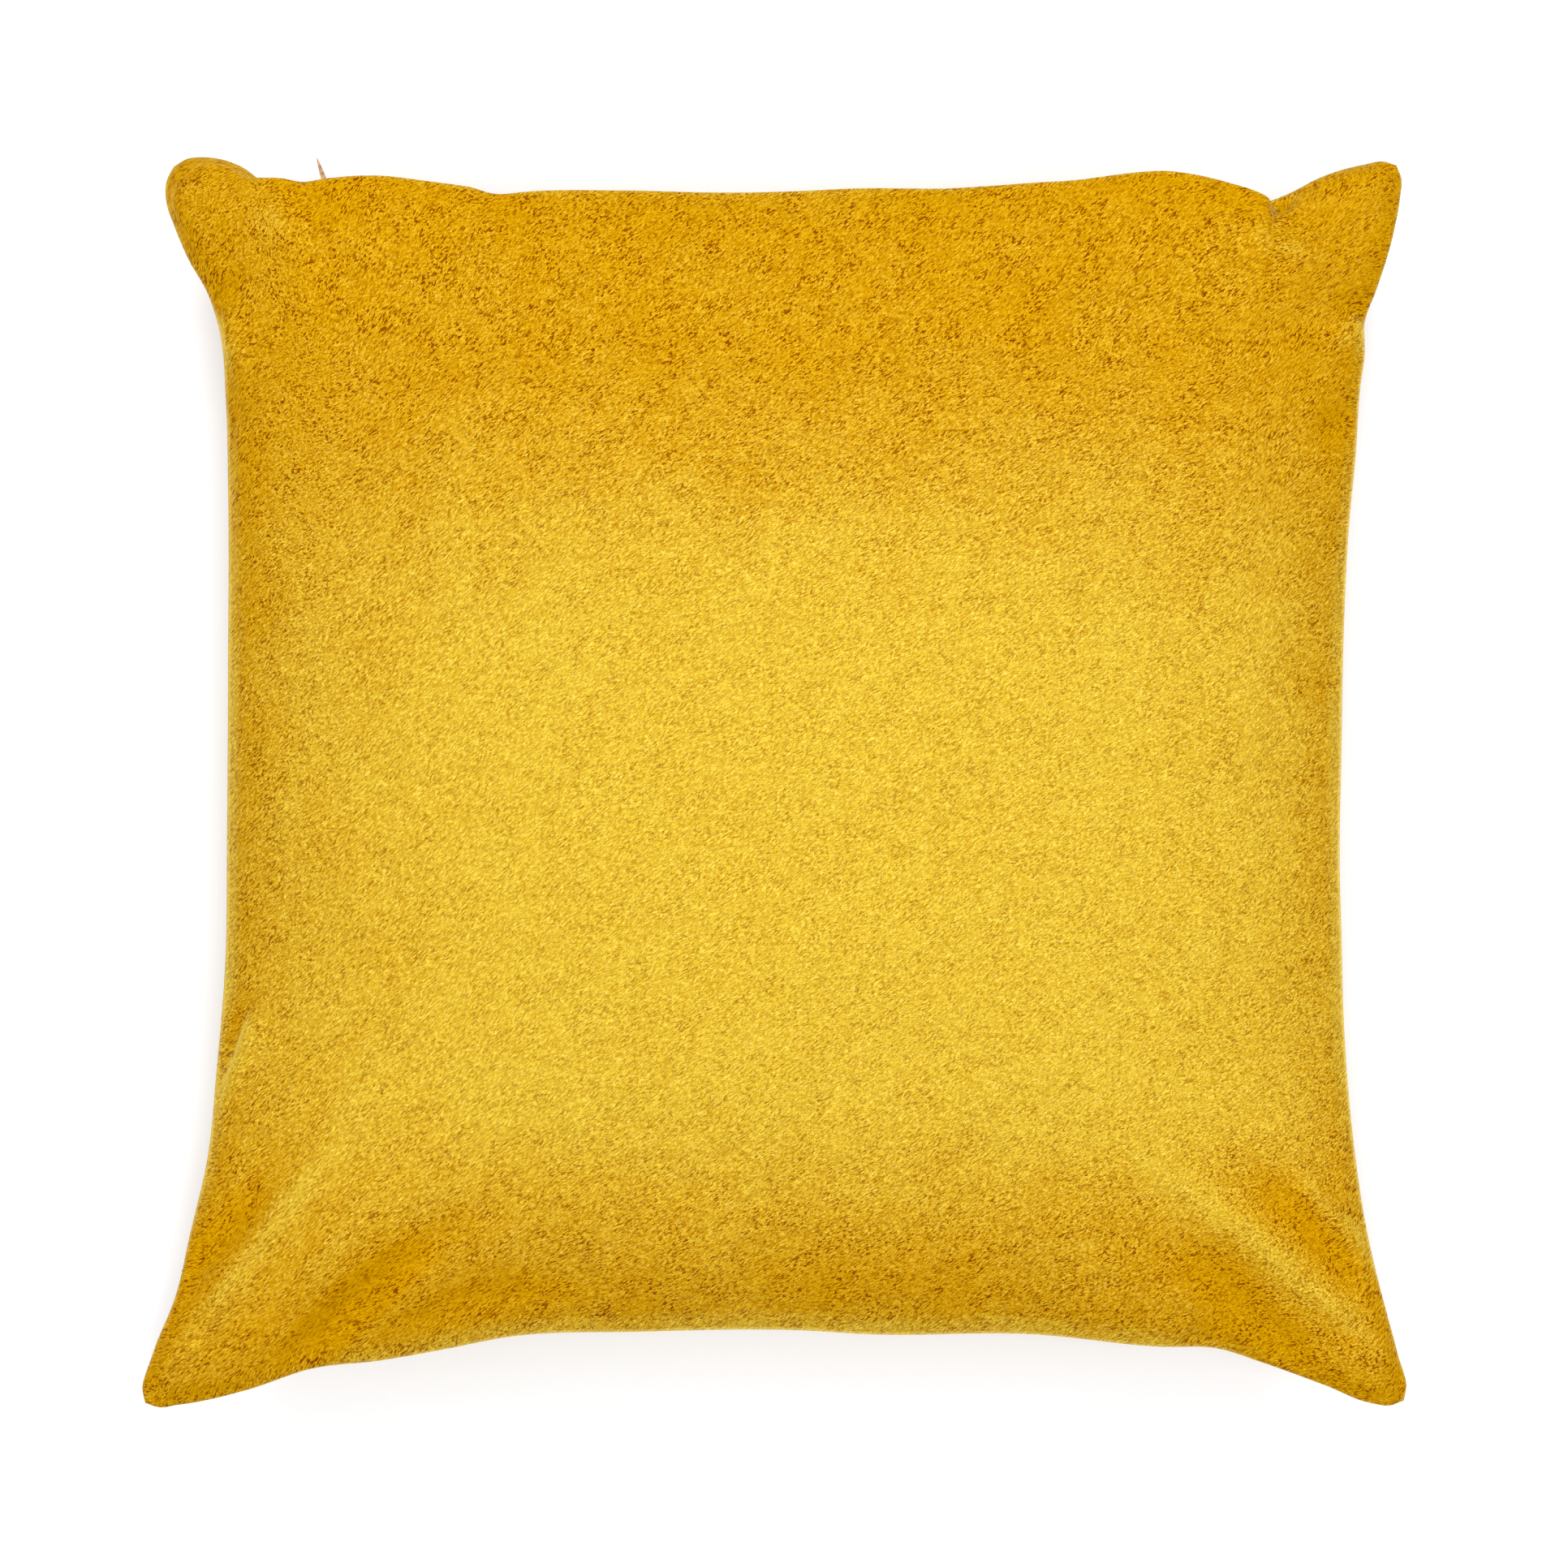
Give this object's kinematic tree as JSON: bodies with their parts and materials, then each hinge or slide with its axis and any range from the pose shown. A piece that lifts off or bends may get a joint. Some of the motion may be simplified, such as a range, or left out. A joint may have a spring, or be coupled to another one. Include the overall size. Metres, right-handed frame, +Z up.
{
  "type": "throw pillow",
  "caption": "Square plush throw pillow: velvet cover with pointed corners and a concealed zip along one edge, round a stuffed insert.",
  "frame": {"origin": "centre of the footprint, on the surface the pillow lies on", "axes": "+Z up, from the back to the front panel; +Y towards the zipped edge; +X along the zip, from its closed end to its open end"},
  "size_m": [0.5068, 0.5016, 0.135],
  "materials": {
    "velvet": "velvet pile, mustard yellow",
    "cover_thread": "spun polyester thread",
    "label": "satin-woven, blank",
    "zip_tape": "woven tape",
    "zip_coil": "nylon monofilament",
    "zip_metal": "antique brass",
    "pull_metal": "antique brass, worn light on its faces",
    "casing": "plain-woven, off-white",
    "insert_thread": "spun polyester thread",
    "fill": "loose polyester fibre"
  },
  "bodies": {
    "pillow": {"front_panel": "velvet", "back_panel": "velvet", "seam_thread": "cover_thread", "overlock_thread_front": "cover_thread", "overlock_thread_back": "cover_thread", "care_label": "label", "zip_tape_front": "zip_tape", "zip_tape_back": "zip_tape", "zip_coil_front": "zip_coil", "zip_coil_back": "zip_coil", "zip_thread_front": "cover_thread", "zip_thread_back": "cover_thread", "zip_top_stop_front": "zip_metal", "zip_top_stop_back": "zip_metal", "zip_bottom_stop": "zip_metal", "insert_casing_front": "casing", "insert_casing_back": "casing", "insert_seam_thread": "insert_thread", "insert_fill": "fill"},
    "zip_slider": {"zip_slider_body": "zip_metal", "zip_slider_bridge": "zip_metal"},
    "zip_pull": {"zip_pull_tab": "pull_metal"}
  },
  "joints": [
    {"name": "zip_slide", "type": "slide", "parent": "pillow", "child": "zip_slider", "axis": [1, 0, 0], "range_m": [0, 0.36]},
    {"name": "pull_hinge", "type": "hinge", "parent": "zip_slider", "child": "zip_pull", "pos_m": [-0.18, 0.235, 0.058], "axis": [0, 0, 1], "range_deg": [-104, 68]}
  ]
}
